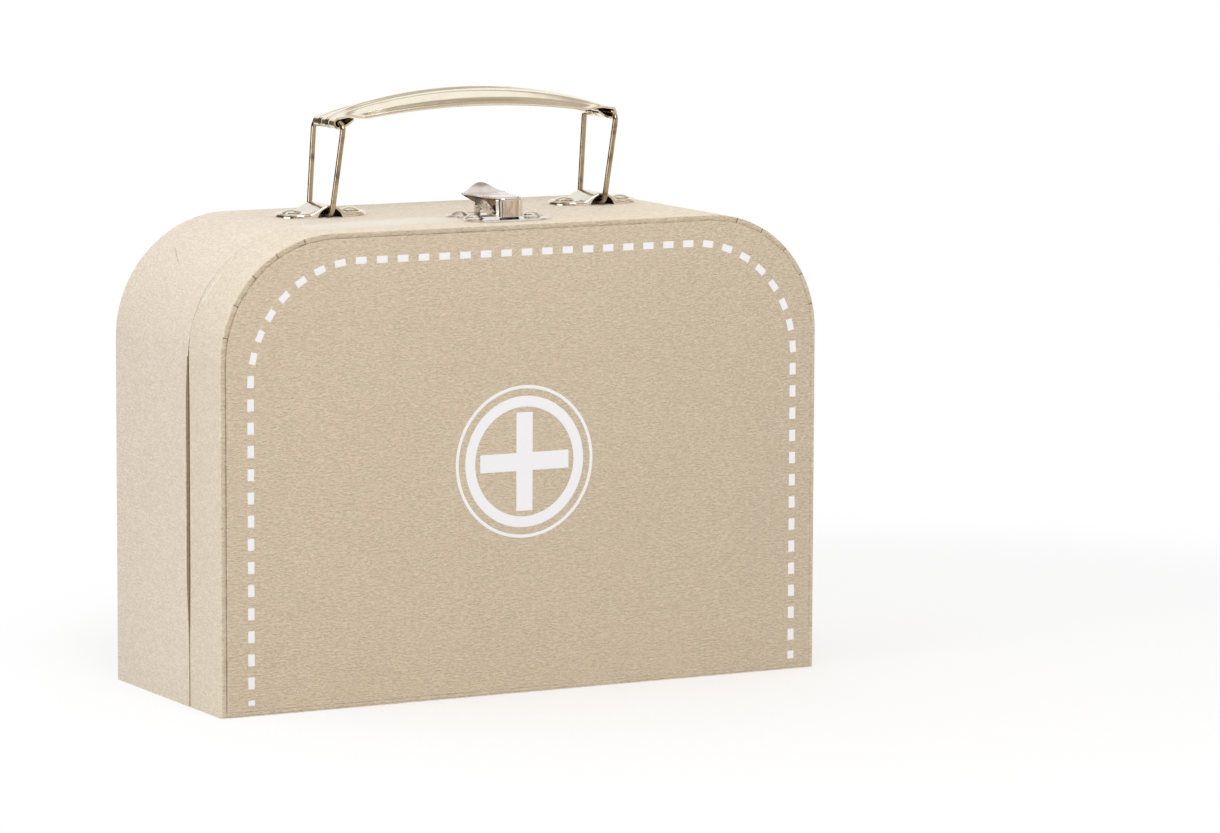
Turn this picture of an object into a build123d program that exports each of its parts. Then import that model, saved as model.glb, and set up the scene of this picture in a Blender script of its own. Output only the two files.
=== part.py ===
from build123d import *
import math
import os

# Toy doctor case: a small board suitcase standing on its long bottom side.
# X runs along the width, Y from the lid at the front to the base at the back, Z up.
# The origin is the centre of the bottom. All sizes are in millimetres.

# ---- driving dimensions: case ----
case_width = 250.0
case_height = 177.0
base_depth = 67.0
lid_depth = 29.0
corner_radius = 46.0
board = 1.8
paper = 0.4
face_sheet = 0.4
lid_lining = 0.3
paper_fold_width = 2.0

# ---- driving dimensions: hinge along the bottom and rim in the opening ----
hinge_clear = 0.05
rim_gap = 0.6
rim_card = 1.2
rim_reach = 3.0
rim_glued = 18.0

# ---- driving dimensions: rivets ----
shank_radius = 1.3
hole_clear = 0.05
washer_radius = 3.5
washer_height = 0.6
tail_radius = 2.3
tail_height = 1.0

# ---- driving dimensions: handle ----
handle_x = 3.0
handle_corner_clear = 2.3
plate_length = 36.5
plate_width = 17.0
plate_rise = 1.7
plate_sheet = 0.7
saddle_half = 9.0
saddle_height = 4.7
saddle_channel_half = 5.2
handle_rivet_pitch = 24.4
handle_rivet_head_radius = 3.7
handle_rivet_head_height = 1.5
wire_radius = 1.05
bar_lift = 1.6
bail_foot_side_clear = 0.45
bail_splay = 3.0
bail_height = 34.0
bail_top_bend = 3.0
bail_foot_bend = 2.2
bail_lean_deg = 6.0
curl_clear = 0.45
grip_sheet = 0.8
grip_end_width = 18.0
grip_extra_width = 3.0
grip_rise = 4.6
grip_crown = 5.0
grip_end_crown = 0.15
curl_sweep_deg = 205.0

# ---- driving dimensions: latch ----
latch_x = 1.5
latch_sheet = 0.7
latch_pad_rise = 0.6
latch_pad_radius = 3.6
latch_rivet_head_radius = 2.9
latch_rivet_head_height = 1.5
keeper_length = 35.0
keeper_width = 19.0
keeper_rivet_pitch = 24.4
keeper_rivet_offset = 3.8
keeper_seam_clear = 0.4
ridge_length = 8.0
ridge_radius = 0.8
ridge_rise = 0.4
anchor_length = 32.5
anchor_width = 13.4
anchor_rivet_pitch = 22.0
anchor_seam_clear = 0.1
pin_radius = 0.9
pin_clear = 0.06
pin_head_radius = 1.5
pin_head_length = 0.5
pin_height = 4.6
pin_setback = 2.0
ear_sheet = 0.8
ear_half_spacing = 5.6
ear_half_width = 1.9
lug_clear = 0.4
hasp_sheet = 0.8
hasp_half_width = 9.0
hasp_front_half = 5.6
hasp_top = 8.8
hasp_reach = 16.8
hasp_tail = 6.4
hasp_corner_radius = 3.0
hasp_brow_radius = 1.4
hasp_plate_clear = 0.7
hasp_knee_reach = 2.4
hasp_knee_height = 5.7
hasp_cheek_depth = 6.0
snap_clear = 0.4
lip_rise = 3.5
lip_lean = 3.6
lip_bend = 0.5

# ---- driving dimensions: print on the lid ----
ink = 0.05
dash_length = 4.4
dash_width = 2.6
dash_pitch = 8.58
dash_first = 3.9
dash_low_edge = 4.1
dash_left_inset = 11.8
dash_right_inset = 10.0
dash_top_inset = 10.4
dash_corner_radius = 44.0
emblem_x = -0.5
emblem_z = 87.8
thin_ring_outer = 28.8
thin_ring_inner = 27.6
thick_ring_outer = 24.8
thick_ring_inner = 20.7
cross_half = 18.6
cross_arm_width = 6.8

# ---- places that follow from the sizes ----
front_y = -(base_depth + lid_depth) / 2
back_y = front_y + base_depth + lid_depth
seam_y = front_y + lid_depth
seam_half_gap = paper + hinge_clear
lid_edge_y = seam_y - seam_half_gap
base_edge_y = seam_y + seam_half_gap
lid_fold_y = front_y + face_sheet
base_fold_y = back_y - face_sheet
lid_board_y = lid_fold_y + paper
base_board_y = base_fold_y - paper
base_liner = lid_lining + rim_gap
wall_in = paper + board
lid_inner = wall_in + lid_lining
base_inner = wall_in + base_liner
rim_inner = base_inner + rim_card
rim_front_y = base_edge_y - rim_reach
rim_back_y = base_edge_y + rim_glued
hole_radius = shank_radius + hole_clear
base_middle_y = (seam_y + back_y) / 2
handle_reach = handle_rivet_pitch / 2 + washer_radius + handle_corner_clear
handle_spacing = case_width - 2 * (corner_radius + handle_x + handle_reach)
nodes = {}


def arch(inset):
    """Front view of the case, drawn in by inset: square feet, round upper corners."""
    half = case_width / 2 - inset
    top = case_height - inset
    radius = corner_radius - inset
    shoulder = top - radius
    left_side = Line((-half, inset), (-half, shoulder))
    left_corner = CenterArc((-half + radius, shoulder), radius, 180, -90)
    top_side = Line((-half + radius, top), (half - radius, top))
    right_corner = CenterArc((half - radius, shoulder), radius, 90, -90)
    right_side = Line((half, shoulder), (half, inset))
    bottom_side = Line((half, inset), (-half, inset))
    return make_face([left_side, left_corner, top_side, right_corner, right_side, bottom_side])


def slab(face, near_y, far_y):
    """Solid between two depths from a face drawn with x as X and y as Z."""
    return extrude(Plane((0, far_y, 0), x_dir=(1, 0, 0), z_dir=(0, -1, 0)) * face, far_y - near_y)


def shell(outer_inset, inner_inset, near_y, far_y):
    """Closed band that follows the arch between two depths."""
    return slab(arch(outer_inset), near_y, far_y) - slab(arch(inner_inset), near_y, far_y)


def block(low, high):
    """Box between two opposite corners."""
    size = [high[i] - low[i] for i in range(3)]
    middle = [(high[i] + low[i]) / 2 for i in range(3)]
    return Pos(*middle) * Box(*size)


def rod(radius, x, y, low_z, high_z):
    """Upright cylinder between two heights."""
    return Pos(x, y, (low_z + high_z) / 2) * Cylinder(radius, high_z - low_z)


def dome(radius, height):
    """Low round cap standing on z = 0."""
    ball_radius = (radius**2 + height**2) / (2 * height)
    ball = Pos(0, 0, height - ball_radius) * Sphere(ball_radius)
    return ball & (Pos(0, 0, height / 2) * Cylinder(radius + 1, height))


def pair(middle_x, pitch):
    """The two places of a pair of rivets in a row along X."""
    return [middle_x - pitch / 2, middle_x + pitch / 2]


def as_one(shape):
    """The single solid of a shape."""
    found = shape.solids()
    assert len(found) == 1
    return found[0]


def save(name, shape):
    """Keep a node under its name."""
    nodes[name] = shape


# ---- places of the rivets: x, y ----
handle_plate_x = pair(handle_x, handle_spacing)
handle_rivet_places = [
    (x, base_middle_y) for middle in handle_plate_x for x in pair(middle, handle_rivet_pitch)
]
anchor_y = base_edge_y + anchor_seam_clear + anchor_width / 2
anchor_rivet_places = [(x, anchor_y) for x in pair(latch_x, anchor_rivet_pitch)]
keeper_y = lid_edge_y - keeper_seam_clear - keeper_width / 2
keeper_rivet_y = keeper_y + keeper_rivet_offset
keeper_rivet_places = [(x, keeper_rivet_y) for x in pair(latch_x, keeper_rivet_pitch)]
base_rivet_places = handle_rivet_places + anchor_rivet_places


def pierced(shape, places):
    """A piece of the top wall with the rivet holes through it."""
    for x, y in places:
        hole = rod(hole_radius, x, y, case_height - rim_inner - 1, case_height + plate_rise + 1)
        shape = shape - hole
    return shape


# ---- boards, covering and lining ----
def covering(fold_y, edge_y):
    """Paper round the sides and top, folded onto the face and round the seam edge."""
    near_y = min(fold_y, edge_y)
    far_y = max(fold_y, edge_y)
    inward = 1 if fold_y < edge_y else -1
    band = shell(0, paper, near_y, far_y)
    face_fold = shell(0, paper_fold_width, *sorted([fold_y, fold_y + inward * paper]))
    edge_fold = shell(0, wall_in, *sorted([edge_y, edge_y - inward * paper]))
    half = case_width / 2 + 1
    floor = block((-half, near_y - 1, -1), (half, far_y + 1, paper))
    return as_one(band + face_fold + edge_fold - floor)


def build_base():
    """The deep rear half, with the hinge leaf and the rim strips."""
    wall = shell(paper, wall_in, base_edge_y + paper, base_board_y)
    save("base_wall_board", pierced(wall, base_rivet_places))
    save("base_back_board", slab(arch(wall_in), base_board_y - board, base_board_y))
    save("base_covering_paper", pierced(covering(base_fold_y, base_edge_y), base_rivet_places))
    save("base_back_sheet", slab(arch(paper_fold_width), base_board_y, back_y))
    lining_y = base_board_y - board - lid_lining
    save("base_back_lining", slab(arch(wall_in), lining_y, base_board_y - board))
    liner = shell(wall_in, base_inner, base_edge_y, lining_y)
    save("base_wall_liner", pierced(liner, base_rivet_places))
    build_rim()
    half = case_width / 2
    leaf = block((-half, seam_y, 0), (half, base_fold_y, paper))
    fold = Pos(0, seam_y, 0) * Rot(0, 90, 0) * Cylinder(paper, case_width)
    fold = fold & block((-half, seam_y - paper, 0), (half, seam_y, paper))
    save("base_hinge_leaf", as_one(leaf + fold))


def build_rim():
    """Card strips inside the straight walls of the base that reach into the lid."""
    side_out = case_width / 2 - base_inner
    side_in = case_width / 2 - rim_inner
    left_low = (-side_out, rim_front_y, base_inner)
    left_high = (-side_in, rim_back_y, case_height - corner_radius)
    right_low = (side_in, rim_front_y, base_inner)
    right_high = (side_out, rim_back_y, case_height - corner_radius)
    save("base_rim_left", block(left_low, left_high))
    save("base_rim_right", block(right_low, right_high))
    top_half = case_width / 2 - corner_radius
    top_low = (-top_half, rim_front_y, case_height - rim_inner)
    top_high = (top_half, rim_back_y, case_height - base_inner)
    save("base_rim_top", as_one(pierced(block(top_low, top_high), anchor_rivet_places)))


def build_lid():
    """The shallow front half."""
    wall = shell(paper, wall_in, lid_board_y, lid_edge_y - paper)
    save("lid_wall_board", pierced(wall, keeper_rivet_places))
    save("lid_front_board", slab(arch(wall_in), lid_board_y, lid_board_y + board))
    save("lid_covering_paper", pierced(covering(lid_fold_y, lid_edge_y), keeper_rivet_places))
    save("lid_front_sheet", slab(arch(paper_fold_width), front_y, lid_board_y))
    lining_y = lid_board_y + board + lid_lining
    save("lid_front_lining", slab(arch(wall_in), lid_board_y + board, lining_y))
    lining = shell(wall_in, lid_inner, lining_y, lid_edge_y)
    save("lid_wall_lining", pierced(lining, keeper_rivet_places))
    half = case_width / 2
    save("lid_hinge_leaf", block((-half, lid_fold_y, 0), (half, lid_edge_y, paper)))


# ---- print: plain cross in rings and a row of dashes along the border ----
def dash_path():
    """Up the left side, over the top and down the right side."""
    left = -case_width / 2 + dash_left_inset
    right = case_width / 2 - dash_right_inset
    top = case_height - dash_top_inset
    shoulder = top - dash_corner_radius
    return Wire(
        [
            Line((left, 0), (left, shoulder)),
            CenterArc((left + dash_corner_radius, shoulder), dash_corner_radius, 180, -90),
            Line((left + dash_corner_radius, top), (right - dash_corner_radius, top)),
            CenterArc((right - dash_corner_radius, shoulder), dash_corner_radius, 90, -90),
            Line((right, shoulder), (right, 0)),
        ]
    )


def build_print():
    """Ink on the front sheet, a hair proud of it."""
    path = dash_path()
    count = 1 + int((path.length - 2 * dash_first) / dash_pitch)
    half = case_width / 2
    printed_area = block((-half, front_y - ink, dash_low_edge), (half, front_y, case_height))
    marks = []
    for i in range(count):
        share = (dash_first + i * dash_pitch) / path.length
        place = path.position_at(share)
        heading = path.tangent_at(share)
        turn = math.degrees(math.atan2(heading.Y, heading.X))
        face = Pos(place.X, place.Y) * Rot(0, 0, turn) * Rectangle(dash_length, dash_width)
        dash = slab(face, front_y - ink, front_y) & printed_area
        marks += dash.solids()
    upright = Rectangle(cross_arm_width, 2 * cross_half)
    across = Rectangle(2 * cross_half, cross_arm_width)
    thin_ring = Circle(thin_ring_outer) - Circle(thin_ring_inner)
    thick_ring = Circle(thick_ring_outer) - Circle(thick_ring_inner)
    for figure in (thin_ring, thick_ring, upright + across):
        marks += slab(Pos(emblem_x, emblem_z) * figure, front_y - ink, front_y).solids()
    save("lid_print", Compound(children=marks))


# ---- rivets and washers through the top wall ----
def rivet(x, y, head_z, wall_under_z, head_radius, head_height):
    """Domed rivet whose tail is spread under a washer inside the case."""
    washer_under_z = wall_under_z - washer_height
    head = Pos(x, y, head_z) * dome(head_radius, head_height)
    shank = rod(shank_radius, x, y, washer_under_z, head_z)
    tail = Pos(x, y, washer_under_z) * Rot(180, 0, 0) * dome(tail_radius, tail_height)
    return as_one(head + shank + tail)


def washer(x, y, wall_under_z):
    """Flat ring under the inner face of the wall."""
    ring = rod(washer_radius, x, y, wall_under_z - washer_height, wall_under_z)
    return as_one(ring - rod(hole_radius, x, y, wall_under_z - washer_height, wall_under_z))


def rivet_group(name, places, head_z, wall_under_z, head_radius, head_height):
    """One node of like rivets and one of their washers."""
    rivets = [rivet(x, y, head_z, wall_under_z, head_radius, head_height) for x, y in places]
    save(name + "_rivets", Compound(children=rivets))
    save(name + "_washers", Compound(children=[washer(x, y, wall_under_z) for x, y in places]))


def build_rivets():
    """Handle, latch anchor and keeper rivets, each over its own stack of wall."""
    handle_head_z = case_height + plate_rise
    latch_head_z = case_height + latch_sheet + latch_pad_rise
    rivet_group(
        "handle",
        handle_rivet_places,
        handle_head_z,
        case_height - base_inner,
        handle_rivet_head_radius,
        handle_rivet_head_height,
    )
    rivet_group(
        "latch_anchor",
        anchor_rivet_places,
        latch_head_z,
        case_height - rim_inner,
        latch_rivet_head_radius,
        latch_rivet_head_height,
    )
    rivet_group(
        "latch_keeper",
        keeper_rivet_places,
        latch_head_z,
        case_height - lid_inner,
        latch_rivet_head_radius,
        latch_rivet_head_height,
    )


# ---- handle ----
def handle_plate(middle_x):
    """Pressed plate with a turned-down rim and a saddle over the wire."""
    rim_line = SlotOverall(plate_length, plate_width)
    pocket_line = SlotOverall(plate_length - 2 * plate_sheet, plate_width - 2 * plate_sheet)
    saddle_top = Spline(
        [(-saddle_half, plate_rise), (0, saddle_height), (saddle_half, plate_rise)],
        tangents=[(1, 0), (1, 0)],
    )
    saddle_feet = Polyline(
        (saddle_half, plate_rise), (saddle_half, 0), (-saddle_half, 0), (-saddle_half, plate_rise)
    )
    saddle = slab(make_face([saddle_top, saddle_feet]), -plate_width / 2, plate_width / 2)
    channel_top = saddle_height - plate_sheet - 0.1
    channel_arc = ThreePointArc(
        (-saddle_channel_half, 0), (0, channel_top), (saddle_channel_half, 0)
    )
    channel_floor = Line((saddle_channel_half, 0), (-saddle_channel_half, 0))
    channel = slab(make_face([channel_arc, channel_floor]), -plate_width, plate_width)
    body = extrude(rim_line, plate_rise) + saddle
    body = body - extrude(pocket_line, plate_rise - plate_sheet) - channel
    for x in pair(0, handle_rivet_pitch):
        body = body - rod(hole_radius, x, 0, 0, plate_rise + 1)
    return as_one(Pos(middle_x, base_middle_y, case_height) * body)


def bail(middle_x):
    """Closed wire loop whose foot bar lies in the saddle of its plate."""
    foot_half = plate_width / 2 + bail_foot_side_clear + wire_radius
    top_half = foot_half + bail_splay
    halves = []
    for side in (-1, 1):
        path = FilletPolyline(
            (0, 0, 0),
            (0, side * foot_half, 0),
            (0, side * top_half, bail_height),
            (0, 0, bail_height),
            radius=[bail_foot_bend, bail_top_bend],
        )
        section = Plane(origin=path @ 0, z_dir=path % 0) * Circle(wire_radius)
        halves.append(sweep(section, path=path))
    loop = Rot(0, bail_lean_deg, 0) * (halves[0] + halves[1])
    return as_one(Pos(middle_x, base_middle_y, case_height + bar_lift) * loop)


def grip_section(along):
    """Arched cross-section of the grip at a distance from its middle."""
    rise = 1 - (2 * along / handle_spacing) ** 2
    crown = grip_end_crown + (grip_crown - grip_end_crown) * max(rise, 0) ** 0.6
    half = (grip_end_width + grip_extra_width * rise) / 2
    edge = wire_radius + curl_clear + grip_rise * rise
    outer = ThreePointArc((-half, edge), (0, edge + crown + grip_sheet), (half, edge))
    right_lip = Line((half, edge), (half - grip_sheet, edge))
    inner = ThreePointArc((half - grip_sheet, edge), (0, edge + crown), (grip_sheet - half, edge))
    left_lip = Line((grip_sheet - half, edge), (-half, edge))
    face = make_face([outer, right_lip, inner, left_lip])
    return Plane((along, 0, 0), x_dir=(0, 1, 0), z_dir=(1, 0, 0)) * face


def curl(side):
    """End of the grip strip rolled round the top bar of a bail."""
    inner = wire_radius + curl_clear
    outer = inner + grip_sheet
    sweep_deg = -side * curl_sweep_deg
    last = math.radians(90 + sweep_deg)
    outer_arc = CenterArc((0, 0), outer, 90, sweep_deg)
    end_line = Line(
        (outer * math.cos(last), outer * math.sin(last)),
        (inner * math.cos(last), inner * math.sin(last)),
    )
    inner_arc = CenterArc((0, 0), inner, 90 + sweep_deg, -sweep_deg)
    start_line = Line((0, inner), (0, outer))
    face = make_face([outer_arc, end_line, inner_arc, start_line])
    roll = slab(face, -grip_end_width / 2, grip_end_width / 2)
    return Pos(side * handle_spacing / 2, 0, 0) * roll


def grip():
    """Arched strip between the two bails, level while the bails lean."""
    stations = [-1, -0.93, -0.8, -0.55, -0.28, 0, 0.28, 0.55, 0.8, 0.93, 1]
    strip = loft([grip_section(share * handle_spacing / 2) for share in stations])
    body = strip + curl(-1) + curl(1)
    lean = math.radians(bail_lean_deg)
    bar_x = handle_x + bail_height * math.sin(lean)
    bar_z = case_height + bar_lift + bail_height * math.cos(lean)
    return as_one(Pos(bar_x, base_middle_y, bar_z) * body)


def build_handle():
    """Two plates, two bails and the grip."""
    left_x, right_x = handle_plate_x
    save("handle_plate_left", handle_plate(left_x))
    save("handle_plate_right", handle_plate(right_x))
    save("handle_bail_left", bail(left_x))
    save("handle_bail_right", bail(right_x))
    save("handle_grip", grip())


# ---- latch ----
def latch_plate(length, width, middle_y, rivet_places):
    """Flat plate with rounded ends and raised pads under its two rivets."""
    body = Pos(latch_x, middle_y, case_height) * extrude(SlotOverall(length, width), latch_sheet)
    pad_top = case_height + latch_sheet + latch_pad_rise
    for x, y in rivet_places:
        body = body + rod(latch_pad_radius, x, y, case_height, pad_top)
        body = body - rod(hole_radius, x, y, case_height, pad_top)
    return body


def side_plate(outline, near_x, far_x):
    """Solid between two X places from a face drawn with x as Y and y as Z."""
    return extrude(Plane((near_x, 0, 0), x_dir=(0, 1, 0), z_dir=(1, 0, 0)) * outline, far_x - near_x)


def cross_rod(radius, half_length):
    """Cylinder along X on the pin line of the latch."""
    bar = Rot(0, 90, 0) * Cylinder(radius, 2 * half_length)
    return Pos(latch_x, pin_y, case_height + pin_height) * bar


pin_y = base_edge_y + pin_setback
pin_half = ear_half_spacing + ear_sheet


def ear_outline():
    """Upright ear on the case top, round about the pin."""
    post = Pos(pin_y, case_height + pin_height / 2) * Rectangle(2 * ear_half_width, pin_height)
    return post + Pos(pin_y, case_height + pin_height) * Circle(ear_half_width)


def build_latch_plates():
    """Anchor plate with ears on the base, keeper plate with a ridge on the lid."""
    anchor = latch_plate(anchor_length, anchor_width, anchor_y, anchor_rivet_places)
    outline = ear_outline()
    for near in (latch_x - pin_half, latch_x + ear_half_spacing):
        anchor = anchor + side_plate(outline, near, near + ear_sheet)
    save("latch_anchor_plate", as_one(anchor - cross_rod(pin_radius + pin_clear, pin_half + 1)))
    keeper = latch_plate(keeper_length, keeper_width, keeper_y, keeper_rivet_places)
    ridge_z = case_height + latch_sheet + ridge_rise - ridge_radius
    ridge = Rot(0, 90, 0) * Cylinder(ridge_radius, ridge_length)
    ridge = Pos(latch_x, ridge_y, ridge_z) * ridge
    case_top = block((-keeper_length, front_y, 0), (keeper_length, back_y, case_height))
    save("latch_keeper_plate", as_one(keeper + (ridge - case_top)))


hasp_front_y = pin_y - hasp_reach
hasp_back_y = pin_y + hasp_tail
hasp_top_z = case_height + hasp_top
hasp_low_z = case_height + latch_sheet + hasp_plate_clear
ridge_y = hasp_front_y + hasp_sheet + snap_clear + ridge_radius


def hasp_outline():
    """Side view of the hasp box: deep at the front hook, running out at the back."""
    return make_face(
        Polyline(
            (hasp_front_y, hasp_low_z),
            (hasp_front_y, hasp_top_z),
            (hasp_back_y, hasp_top_z),
            (hasp_back_y, hasp_top_z - hasp_sheet),
            (pin_y - hasp_knee_reach, case_height + hasp_knee_height),
            (hasp_front_y + hasp_cheek_depth, hasp_low_z),
            close=True,
        )
    )


def hasp_block(inset, back_y, top_z):
    """Block that narrows towards the front, drawn in by inset, with its two front corners round."""
    near_y = hasp_front_y + inset
    near_half = hasp_front_half - inset
    far_half = hasp_half_width - inset
    plan = make_face(
        Polyline(
            (latch_x - near_half, near_y),
            (latch_x + near_half, near_y),
            (latch_x + far_half, back_y),
            (latch_x - far_half, back_y),
            close=True,
        )
    )
    body = Pos(0, 0, case_height) * extrude(plan, top_z - case_height)
    upright = body.edges().filter_by(Axis.Z).group_by(Axis.Y)[0]
    return fillet(upright, hasp_corner_radius - inset)


def hasp():
    """Pressed box that rocks on the pin, with a hook wall in front and a finger lip."""
    side_view = side_plate(hasp_outline(), latch_x - hasp_half_width, latch_x + hasp_half_width)
    outer = hasp_block(0, hasp_back_y, hasp_top_z) & side_view
    brow = outer.edges().group_by(Axis.Z)[-1].group_by(Axis.Y)[:-1]
    outer = fillet([edge for group in brow for edge in group], hasp_brow_radius)
    hollow = hasp_block(hasp_sheet, hasp_back_y, hasp_top_z - hasp_sheet)
    body = outer - hollow + finger_lip()
    lug_out = ear_half_spacing - lug_clear
    pin_z = case_height + pin_height
    hanger = Pos(pin_y, (pin_z + hasp_top_z) / 2) * Rectangle(2 * ear_half_width, hasp_top_z - pin_z)
    outline = hanger + Pos(pin_y, pin_z) * Circle(ear_half_width)
    for near in (latch_x - lug_out, latch_x + lug_out - ear_sheet):
        body = body + side_plate(outline, near, near + ear_sheet)
    return as_one(body - cross_rod(pin_radius + pin_clear, lug_out + lug_clear / 2))


def finger_lip():
    """Curved tab that rises from the back of the hasp, rounded when seen from behind."""
    left = latch_x - hasp_half_width
    right = latch_x + hasp_half_width
    low = hasp_top_z - hasp_sheet
    tip_z = hasp_top_z + lip_rise
    root_y = hasp_back_y - hasp_sheet
    curve = ThreePointArc(
        (root_y, low),
        (root_y + lip_lean / 2 + lip_bend, (low + tip_z) / 2 - lip_bend),
        (root_y + lip_lean, tip_z),
    )
    tip = Line((root_y + lip_lean, tip_z), (root_y + lip_lean + hasp_sheet, tip_z))
    root = Line((root_y + hasp_sheet, low), (root_y, low))
    band = side_plate(make_face([curve, tip, Pos(hasp_sheet, 0) * curve, root]), left, right)
    crown = Spline(
        [(left, hasp_top_z), (latch_x, tip_z), (right, hasp_top_z)],
        tangents=[(1, 0), (1, 0)],
    )
    feet = Polyline((right, hasp_top_z), (right, low), (left, low), (left, hasp_top_z))
    return band & slab(make_face([crown, feet]), root_y, root_y + lip_lean + 2 * hasp_sheet)


def build_latch():
    """Plates, pin and hasp."""
    build_latch_plates()
    pin = cross_rod(pin_radius, pin_half)
    for side in (-1, 1):
        head = Pos(side * (pin_half + pin_head_length / 2), 0, 0) * cross_rod(
            pin_head_radius, pin_head_length / 2
        )
        pin = pin + head
    save("latch_pin", as_one(pin))
    save("latch_hasp", hasp())


build_base()
build_lid()
build_print()
build_rivets()
build_handle()
build_latch()

os.makedirs("parts", exist_ok=True)
for node_name, node_shape in nodes.items():
    export_step(node_shape, "parts/" + node_name + ".step")
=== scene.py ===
from math import atan2, copysign, cos, degrees, exp, hypot, pi, radians, sin, sqrt, tan

import bmesh
import bpy
from mathutils import Matrix, Vector


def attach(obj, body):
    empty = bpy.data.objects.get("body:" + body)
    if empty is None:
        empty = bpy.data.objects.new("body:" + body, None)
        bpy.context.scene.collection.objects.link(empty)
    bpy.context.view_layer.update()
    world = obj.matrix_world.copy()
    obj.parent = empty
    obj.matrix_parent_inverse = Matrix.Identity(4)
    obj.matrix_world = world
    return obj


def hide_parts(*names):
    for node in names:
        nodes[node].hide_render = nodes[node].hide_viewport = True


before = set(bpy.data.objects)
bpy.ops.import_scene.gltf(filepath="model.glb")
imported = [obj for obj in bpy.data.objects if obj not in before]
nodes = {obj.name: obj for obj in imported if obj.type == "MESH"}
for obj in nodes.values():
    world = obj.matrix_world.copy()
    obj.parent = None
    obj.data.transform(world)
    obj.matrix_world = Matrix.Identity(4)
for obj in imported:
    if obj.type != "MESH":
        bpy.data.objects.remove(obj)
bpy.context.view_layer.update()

MM = 0.001

# ---- sizes of the case, in millimetres as in the part ----
case_width = 250.0
case_height = 177.0
corner_radius = 46.0
shoulder_z = case_height - corner_radius
shoulder_x = case_width / 2 - corner_radius
paper = 0.4
wall_in = 2.2
front_y = -48.0
back_y = 48.0
fold_depth = 0.4
lid_edge_y = -19.45
base_edge_y = -18.55

# ---- handle ----
handle_x = 3.0
handle_y = 14.5
handle_half = 58.0
bail_height = 34.0
bail_lean = radians(6.0)
bar_lift = 1.6
bail_middles = {"left": handle_x - handle_half, "right": handle_x + handle_half}

# ---- latch ----
latch_x = 1.5
keeper_y = -29.35
anchor_y = -11.75
handle_rivet_x = 12.2
keeper_rivet_x = 12.2
keeper_rivet_y = 3.8
anchor_rivet_x = 11.0
pin_y = -16.55
pin_z = case_height + 4.6
pin_eye = 1.9
hasp_front_y = -33.35
hasp_back_y = -10.15
hasp_front_half = 5.6
hasp_back_half = 9.0
hasp_top = 8.8
hasp_sheet = 0.8
hasp_low = 1.4
hasp_recess = 0.62


# ---- node trees ----
class Value:
    """A socket that adds Math nodes when it is used in a sum or a product."""

    def __init__(self, sheet, socket):
        self.sheet = sheet
        self.socket = socket

    def __add__(self, other):
        return self.sheet.math("ADD", self, other)

    def __sub__(self, other):
        return self.sheet.math("SUBTRACT", self, other)

    def __rsub__(self, other):
        return self.sheet.math("SUBTRACT", other, self)

    def __mul__(self, other):
        return self.sheet.math("MULTIPLY", self, other)

    __radd__ = __add__
    __rmul__ = __mul__


class Sheet:
    """A node tree being built: a finish, the studio's light or a rule that makes a mesh."""

    def __init__(self, tree):
        self.tree = tree

    def node(self, kind, sockets=None, output=0, **settings):
        made = self.tree.nodes.new(kind)
        for name, value in settings.items():
            setattr(made, name, value)
        for key, value in (sockets or {}).items():
            if isinstance(value, Value):
                self.tree.links.new(value.socket, made.inputs[key])
            else:
                made.inputs[key].default_value = value
        return Value(self, made.outputs[output])

    def send(self, value, kind, socket):
        """Link a value to a node that ends the tree."""
        end = self.tree.nodes.new(kind)
        self.tree.links.new(value.socket, end.inputs[socket])

    def math(self, operation, first, second=None):
        sockets = {0: first} if second is None else {0: first, 1: second}
        return self.node("ShaderNodeMath", sockets, operation=operation)

    def vector(self, operation, sockets, output=0):
        return self.node("ShaderNodeVectorMath", sockets, output, operation=operation)

    def cloud(self, vector, scale, detail=2.0, roughness=0.5, distortion=0.0):
        sockets = {"Vector": vector, "Scale": scale, "Detail": detail}
        sockets.update({"Roughness": roughness, "Distortion": distortion})
        return self.node("ShaderNodeTexNoise", sockets)

    def grain(self, place, per_metre, detail=2.0, roughness=0.5, distortion=0.0):
        """A cloud drawn out, from its number of grains in a metre along each axis."""
        drawn_out = self.vector("MULTIPLY", {0: place, 1: per_metre})
        return self.cloud(drawn_out, 1.0, detail, roughness, distortion)

    def step(self, value, low, high):
        """0 below low, 1 above high, smooth between; high may be the lower one."""
        sockets = {"Value": value, "From Min": low, "From Max": high}
        return self.node("ShaderNodeMapRange", sockets, interpolation_type="SMOOTHSTEP")

    def blend(self, share, first, second):
        """Colour between two colours."""
        return self.node("ShaderNodeMix", {0: share, 6: first, 7: second}, 2, data_type="RGBA")

    def along(self, vector, line):
        return self.vector("DOT_PRODUCT", {0: vector, 1: line}, "Value")

    def ray(self, kind):
        return self.node("ShaderNodeLightPath", output=kind)

    def part(self, vector, axis):
        return self.node("ShaderNodeSeparateXYZ", {0: vector}, axis)

    def raised(self, height, depth, strength=1.0):
        """Normal of a surface with fine relief, depth in metres."""
        sockets = {"Height": height, "Distance": depth, "Strength": strength}
        return self.node("ShaderNodeBump", sockets)


def tint(red, green, blue):
    """Colour of a finish from values 0 to 255 as a screen shows them."""
    parts = []
    for value in (red, green, blue):
        value = value / 255
        parts.append(value / 12.92 if value <= 0.04045 else ((value + 0.055) / 1.055) ** 2.4)
    return (*parts, 1.0)


def finish(name):
    """A new empty material, the sheet of its node tree and the place on the piece."""
    material = bpy.data.materials.new(name)
    material.use_nodes = True
    material.node_tree.nodes.clear()
    sheet = Sheet(material.node_tree)
    return material, sheet, sheet.node("ShaderNodeTexCoord", output="Object")


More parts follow.
